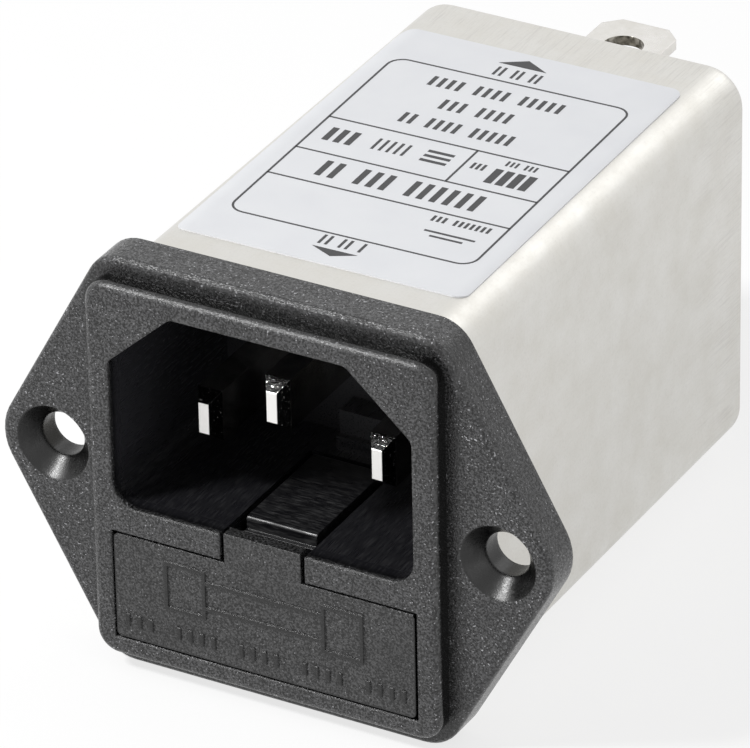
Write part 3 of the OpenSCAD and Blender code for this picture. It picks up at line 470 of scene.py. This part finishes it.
class Print:
    """Collects flat printed shapes, given in mm from the label's centre, in one mesh."""

    def __init__(self):
        self.mesh = bmesh.new()

    def points(self, outline):
        return [self.mesh.verts.new((x * MM, y * MM, 0)) for x, y in outline]

    def fill(self, outline):
        self.mesh.faces.new(self.points(outline))

    def bar(self, x, y, w, h):
        corners = ((-w / 2, -h / 2), (w / 2, -h / 2), (w / 2, h / 2), (-w / 2, h / 2))
        self.fill([(x + dx, y + dy) for dx, dy in corners])

    def band(self, outline, inner):
        """A closed line between two outlines with as many points."""
        outer, inside = self.points(outline), self.points(inner)
        for i in range(len(outer)):
            j = (i + 1) % len(outer)
            self.mesh.faces.new((outer[i], outer[j], inside[j], inside[i]))

    def words(self, x0, x1, y, height, stroke, pitch, gaps=()):
        """A row of short upright bars in place of lettering, with word gaps."""
        count = max(1, round((x1 - x0) / pitch))
        step = (x1 - x0) / count
        for i in range(count):
            if i not in gaps:
                self.bar(x0 + (i + 0.5) * step, y, stroke, height)

    def object(self, name, z, thickness, material):
        self.mesh.normal_update()
        bmesh.ops.solidify(self.mesh, geom=self.mesh.faces[:], thickness=-thickness)
        bmesh.ops.recalc_face_normals(self.mesh, faces=self.mesh.faces[:])
        place = Matrix.Translation((LABEL_X, LABEL_Y, z))
        return add_object(name, self.mesh, material, place @ Matrix.Rotation(PRINT_TURN, 4, "Z"))


def ruled_outline(inset, steps=6):
    """Points round the ruled frame's rounded rectangle, set in by `inset`."""
    left, right = FRAME_X0 + FRAME_R, FRAME_X1 - FRAME_R
    low, high = FRAME_Y0 + FRAME_R, FRAME_Y1 - FRAME_R
    r = FRAME_R - inset
    points = []
    for cx, cy, start in ((right, high, 0), (left, high, 90), (left, low, 180), (right, low, 270)):
        for i in range(steps + 1):
            angle = math.radians(start + 90 * i / steps)
            points.append((cx + r * math.cos(angle), cy + r * math.sin(angle)))
    return points


def label_print():
    """Two arrows and a ruled frame with plain bars where the lettering and marks would be."""
    ink = Print()
    ink.band(ruled_outline(0), ruled_outline(RULE))
    for y in ROWS:
        ink.bar((FRAME_X0 + FRAME_X1) / 2, y, FRAME_X1 - FRAME_X0 - RULE, RULE)
    ink.bar(POST_X, (ROWS[1] + ROWS[2]) / 2, RULE, ROWS[2] - ROWS[1])

    # The arrows at the two ends, with a short word beside each
    ink.fill([(-2.4, 15.2), (1.5, 15.2), (-0.45, 16.35)])
    ink.fill([(1.93, -15.2), (-1.7, -15.2), (0.2, -16.1)])
    ink.words(-2.2, 1.7, 14.0, 1.35, FINE, 0.5, (2, 5))
    ink.words(-1.7, 2.0, -14.1, 1.3, FINE, 0.5, (2, 5))

    # The top field
    ink.words(-5.8, 5.3, 10.55, 1.45, MEDIUM, 0.72, (4, 9))
    ink.words(-3.4, 2.6, 7.6, 1.5, MEDIUM, 0.72, (3,))
    ink.words(-5.1, 4.2, 4.6, 1.5, MEDIUM, 0.72, (2, 7))

    # The middle field, left and right of its post
    for x in (-8.3, -7.4, -6.5):
        ink.bar(x, 0.0, BOLD, 2.0)
    ink.words(-4.9, -1.9, 0.1, 1.7, FINE, 0.6)
    for y in (-0.6, 0.1, 0.8):
        ink.bar(0.3, y, 2.1, MEDIUM)
    for x in (5.2, 6.1, 7.0, 7.9):
        ink.bar(x, -0.6, 0.62, 2.2)
    ink.words(2.95, 4.2, 0.2, 0.9, FINE, 0.42)
    ink.words(5.1, 7.7, 1.5, 0.75, 0.18, 0.4, (3,))

    # The two lowest fields
    ink.words(-6.8, 6.5, -4.8, 2.3, BOLD, 1.0, (2, 6))
    ink.words(4.0, 8.8, -8.0, 0.8, FINE, 0.42, (3,))
    ink.bar(6.4, -9.8, 4.0, FINE)
    ink.bar(6.4, -10.4, 2.6, FINE)

    made = ink.object("label_print", LABEL_TOP_Z, PRINT_THICKNESS, print_ink().material)
    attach(made, "housing")


# ---------------------------------------------------------------- drawer plate marks

DASH_GROUPS = (3, 4, 4, 4, 4)
DASH_WIDTH, DASH_HEIGHT, DASH_PITCH = 0.42 * MM, 1.05 * MM, 0.95 * MM
DASH_DEPTH = 0.2 * MM  # half of it stands out of the plate
DASH_EDGE = 0.05 * MM
GROUP_GAP = 1.35 * MM
DASHES_Z = -11.95 * MM


def plate_marks(plastic):
    """A row of raised dashes under the fuse symbol, where the moulded lettering would be."""
    length = sum(DASH_GROUPS) * DASH_PITCH + (len(DASH_GROUPS) - 1) * GROUP_GAP
    x = (DASH_PITCH - length) / 2
    size = Matrix.Diagonal((DASH_WIDTH, DASH_DEPTH, DASH_HEIGHT, 1))
    mesh = bmesh.new()
    for count in DASH_GROUPS:
        for _ in range(count):
            place = Matrix.Translation((x, FRONT_Y, DASHES_Z))
            bmesh.ops.create_cube(mesh, size=1, matrix=place @ size)
            x += DASH_PITCH
        x += GROUP_GAP
    bmesh.ops.bevel(mesh, geom=mesh.edges[:], offset=DASH_EDGE, segments=2, affect="EDGES")
    made = add_object("plate_marks", mesh, plastic.material)
    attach(made, "drawer")


# ---------------------------------------------------------------- materials on the CAD nodes

def dress_nodes():
    """Gives every CAD node its material, and returns the drawer's."""
    drawer = drawer_plastic()
    live_pins = pin_plating("live_pin_plating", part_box("line_pin")[0][1])
    earth_pin = pin_plating("earth_pin_plating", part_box("earth_pin")[0][1])
    tabs = plated_metal("tab_metal", (0.78, 0.76, 0.73), 0.24, 0.08 * MM)
    contacts = plated_metal("contact_metal", (0.72, 0.64, 0.5), 0.25)
    caps = plated_metal("fuse_metal", (0.80, 0.79, 0.76), 0.2)
    wire = winding_wire()
    coat = plain_plastic("y_capacitor_coat", (0.06, 0.18, 0.45), 0.35)
    line = plain_plastic("line_insulation", (0.14, 0.07, 0.035), 0.4)
    shaders = {
        "inlet_housing": housing_plastic(),
        "fuse_drawer": drawer,
        "line_pin": live_pins,
        "neutral_pin": live_pins,
        "earth_pin": earth_pin,
        "line_fuse_contact": contacts,
        "load_fuse_contact": contacts,
        "fuse_tube": fuse_glass(),
        "fuse_cap_left": caps,
        "fuse_cap_right": caps,
        "fuse_wire": caps,
        "case": can_steel(),
        "label": label_film(),
        "terminal_plate": plain_plastic("terminal_plastic", (0.05, 0.05, 0.053), 0.45),
        "line_terminal": tabs,
        "neutral_terminal": tabs,
        "earth_terminal": earth_tab_plating(),
        "earth_rivet": tabs,
        "circuit_board": plain_plastic("board_laminate", (0.09, 0.26, 0.13), 0.4),
        "choke_core": plain_plastic("core_ferrite", (0.07, 0.12, 0.09), 0.45),
        "choke_divider": plain_plastic("divider_plastic", (0.78, 0.75, 0.64), 0.5),
        "line_winding": wire,
        "neutral_winding": wire,
        "x_capacitor": plain_plastic("x_capacitor_case", (0.72, 0.55, 0.10), 0.35),
        "line_y_capacitor": coat,
        "neutral_y_capacitor": coat,
        "bleed_resistor": plain_plastic("resistor_coat", (0.62, 0.5, 0.32), 0.4),
        "fuse_bridge": line,
        "line_lead": line,
        "neutral_lead": plain_plastic("neutral_insulation", (0.05, 0.14, 0.5), 0.4),
        "earth_lead": plain_plastic("earth_insulation", (0.14, 0.4, 0.07), 0.4),
    }
    for node, shader in shaders.items():
        paint(node, shader)
    return drawer


# ---------------------------------------------------------------- floor and light

WORLD_FILL = 0.35
FLOOR_WHITE = (0.98, 0.98, 0.98)
FLOOR_ROUGHNESS = 0.8
FLOOR_HALF_WIDTH = 1.5
FLOOR_GAP = 0.02 * MM
SHADOW_CLEARING = 0.75  # how far the floor is plain white where it is seen
LAMP_AIM = Vector((0, 0.018, 0))
LAMPS = (
    # name, place, width and height, watts
    ("key", (-0.26, -0.27, 0.44), (0.1, 0.1), 2.85),
    ("top", (0.13, 0.42, 0.36), (0.3, 0.3), 0.24),
    ("right", (0.45, -0.1, 0.2), (0.3, 0.4), 0.3),
)


def seen_directly(tree):
    """1 for camera, mirror and glass rays."""
    rays = add_node(tree, "LightPath").outputs
    seen = rays["Is Camera Ray"]
    for ray in ("Is Glossy Ray", "Is Transmission Ray"):
        seen = add_node(tree, "Math", {0: seen, 1: rays[ray]}, operation="MAXIMUM").outputs[0]
    return seen


def make_world():
    """Pure white where it is seen, and a soft even fill where it lights."""
    world = bpy.data.worlds.new("studio")
    bpy.context.scene.world = world
    world.use_nodes = True
    tree = world.node_tree
    background = tree.nodes["Background"]
    background.inputs["Color"].default_value = (1, 1, 1, 1)
    inputs = {"Value": seen_directly(tree), "To Min": WORLD_FILL, "To Max": 1.0}
    strength = add_node(tree, "MapRange", inputs).outputs["Result"]
    tree.links.new(strength, background.inputs["Strength"])


def make_floor():
    """A white floor that keeps the object's soft shadow."""
    material = bpy.data.materials.new("floor")
    material.use_nodes = True
    tree = material.node_tree
    surface = tree.nodes["Principled BSDF"]
    surface.inputs["Base Color"].default_value = opaque(FLOOR_WHITE)
    surface.inputs["Roughness"].default_value = FLOOR_ROUGHNESS
    inputs = {0: seen_directly(tree), 1: SHADOW_CLEARING}
    share = add_node(tree, "Math", inputs, operation="MULTIPLY").outputs[0]
    white = add_node(tree, "Emission").outputs[0]
    mixed = add_node(tree, "MixShader", {"Fac": share, 1: surface.outputs[0], 2: white})
    tree.links.new(mixed.outputs[0], tree.nodes["Material Output"].inputs["Surface"])
    mesh = bmesh.new()
    bmesh.ops.create_grid(mesh, x_segments=1, y_segments=1, size=FLOOR_HALF_WIDTH)
    floor = add_object("floor", mesh, material)
    floor.location = (0, 0, FLOOR_Z - FLOOR_GAP)


def make_lights():
    """Three soft lamps, aimed at the front half of the can."""
    for name, place, size, power in LAMPS:
        data = bpy.data.lights.new(name, "AREA")
        data.shape = "RECTANGLE"
        data.size, data.size_y = size
        data.energy = power
        lamp = bpy.data.objects.new(name, data)
        turn = (Vector(place) - LAMP_AIM).to_track_quat("Z", "Y").to_matrix().to_4x4()
        lamp.matrix_world = Matrix.Translation(place) @ turn
        bpy.context.scene.collection.objects.link(lamp)


make_camera()
drawer_shader = dress_nodes()
label_print()
plate_marks(drawer_shader)
make_world()
make_floor()
make_lights()
bpy.context.scene.view_settings.view_transform = "Standard"
